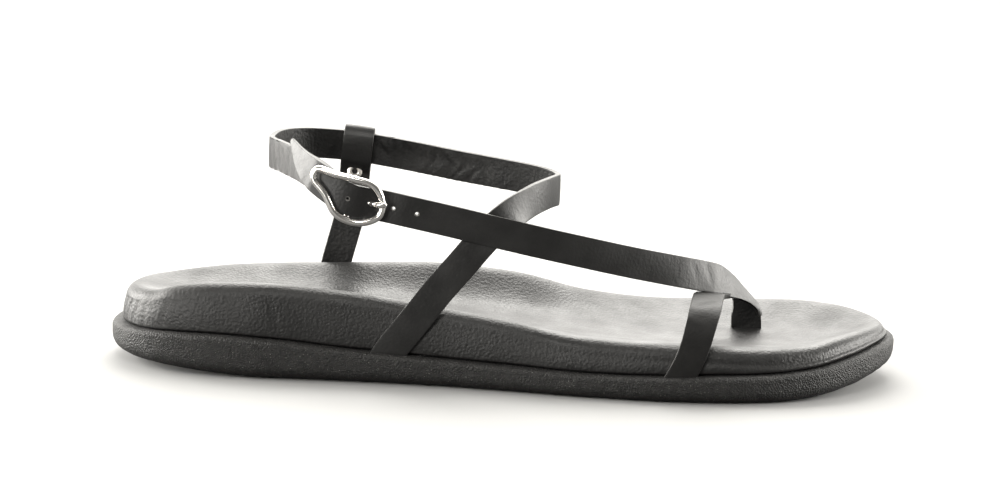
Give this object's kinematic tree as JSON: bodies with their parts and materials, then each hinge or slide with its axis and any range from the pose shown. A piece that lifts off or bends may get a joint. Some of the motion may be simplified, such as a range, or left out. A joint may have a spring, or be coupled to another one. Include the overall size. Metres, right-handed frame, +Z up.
{
  "type": "sandal",
  "caption": "Flat leather sandal for the right foot, with a contoured footbed, a toe thong and crossed straps that close round the ankle with a buckle.",
  "frame": {"origin": "on the floor, below the middle of the outsole's outline box", "axes": "+X from heel to toe, +Y towards the inner side of the foot, +Z up from the floor"},
  "size_m": [0.265, 0.0968, 0.0782],
  "materials": {
    "outsole_rubber": "matte, finely pebbled",
    "footbed_leather": "smooth satin",
    "strap_leather": "smooth satin, fine grain",
    "buckle_metal": "polished"
  },
  "bodies": {
    "root": {"outsole": "outsole_rubber", "footbed": "footbed_leather", "upper": "strap_leather", "side_strap": "strap_leather", "buckle_frame": "buckle_metal", "buckle_prong": "buckle_metal", "side_rivet": "buckle_metal"}
  },
  "joints": []
}
